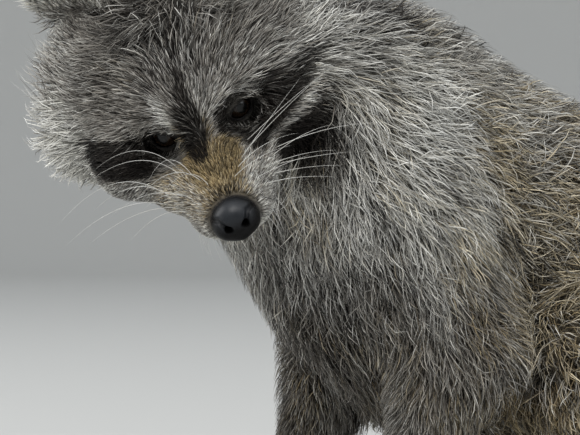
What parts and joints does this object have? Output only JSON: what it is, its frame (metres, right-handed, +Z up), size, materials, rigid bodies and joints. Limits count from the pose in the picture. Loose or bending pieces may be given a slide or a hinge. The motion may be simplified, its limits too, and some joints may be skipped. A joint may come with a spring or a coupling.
{
  "type": "raccoon",
  "caption": "Life-size still model of an adult raccoon sitting on its haunches with forepaws planted, head bowed and turned to the side, thick tail laid on the floor.",
  "frame": {"origin": "centre of the model's footprint box, on the floor", "axes": "+Z up; X is the longest extent, from the head (-X) to the tail (+X); -Y is the side the face is turned to"},
  "size_m": [0.5868, 0.3352, 0.3568],
  "materials": {
    "fur": "grizzled grey-brown fur",
    "pale_fur": "cream-white fur",
    "dark_fur": "blackish-brown fur",
    "paw_skin": "dark bare skin, slightly moist on the nose",
    "eye": "wet, glossy, near black",
    "claw": "dark horn, semi-matt"
  },
  "bodies": {
    "root": {"neck": "fur", "chest": "fur", "belly": "fur", "rump": "fur", "head": "fur", "tail_1": "fur", "tail_3": "fur", "upper_arm_left": "fur", "upper_arm_right": "fur", "forearm_left": "fur", "forearm_right": "fur", "thigh_left": "fur", "thigh_right": "fur", "shank_left": "fur", "shank_right": "fur", "lower_jaw": "pale_fur", "ear_left": "pale_fur", "ear_right": "pale_fur", "tail_2": "dark_fur", "tail_4": "dark_fur", "nose": "paw_skin", "hand_left": "paw_skin", "hand_right": "paw_skin", "foot_left": "paw_skin", "foot_right": "paw_skin", "eye_left": "eye", "eye_right": "eye", "hand_left_claw_1": "claw", "hand_left_claw_2": "claw", "hand_left_claw_3": "claw", "hand_left_claw_4": "claw", "hand_left_claw_5": "claw", "hand_right_claw_1": "claw", "hand_right_claw_2": "claw", "hand_right_claw_3": "claw", "hand_right_claw_4": "claw", "hand_right_claw_5": "claw", "foot_left_claw_1": "claw", "foot_left_claw_2": "claw", "foot_left_claw_3": "claw", "foot_left_claw_4": "claw", "foot_left_claw_5": "claw", "foot_right_claw_1": "claw", "foot_right_claw_2": "claw", "foot_right_claw_3": "claw", "foot_right_claw_4": "claw", "foot_right_claw_5": "claw"}
  },
  "joints": []
}
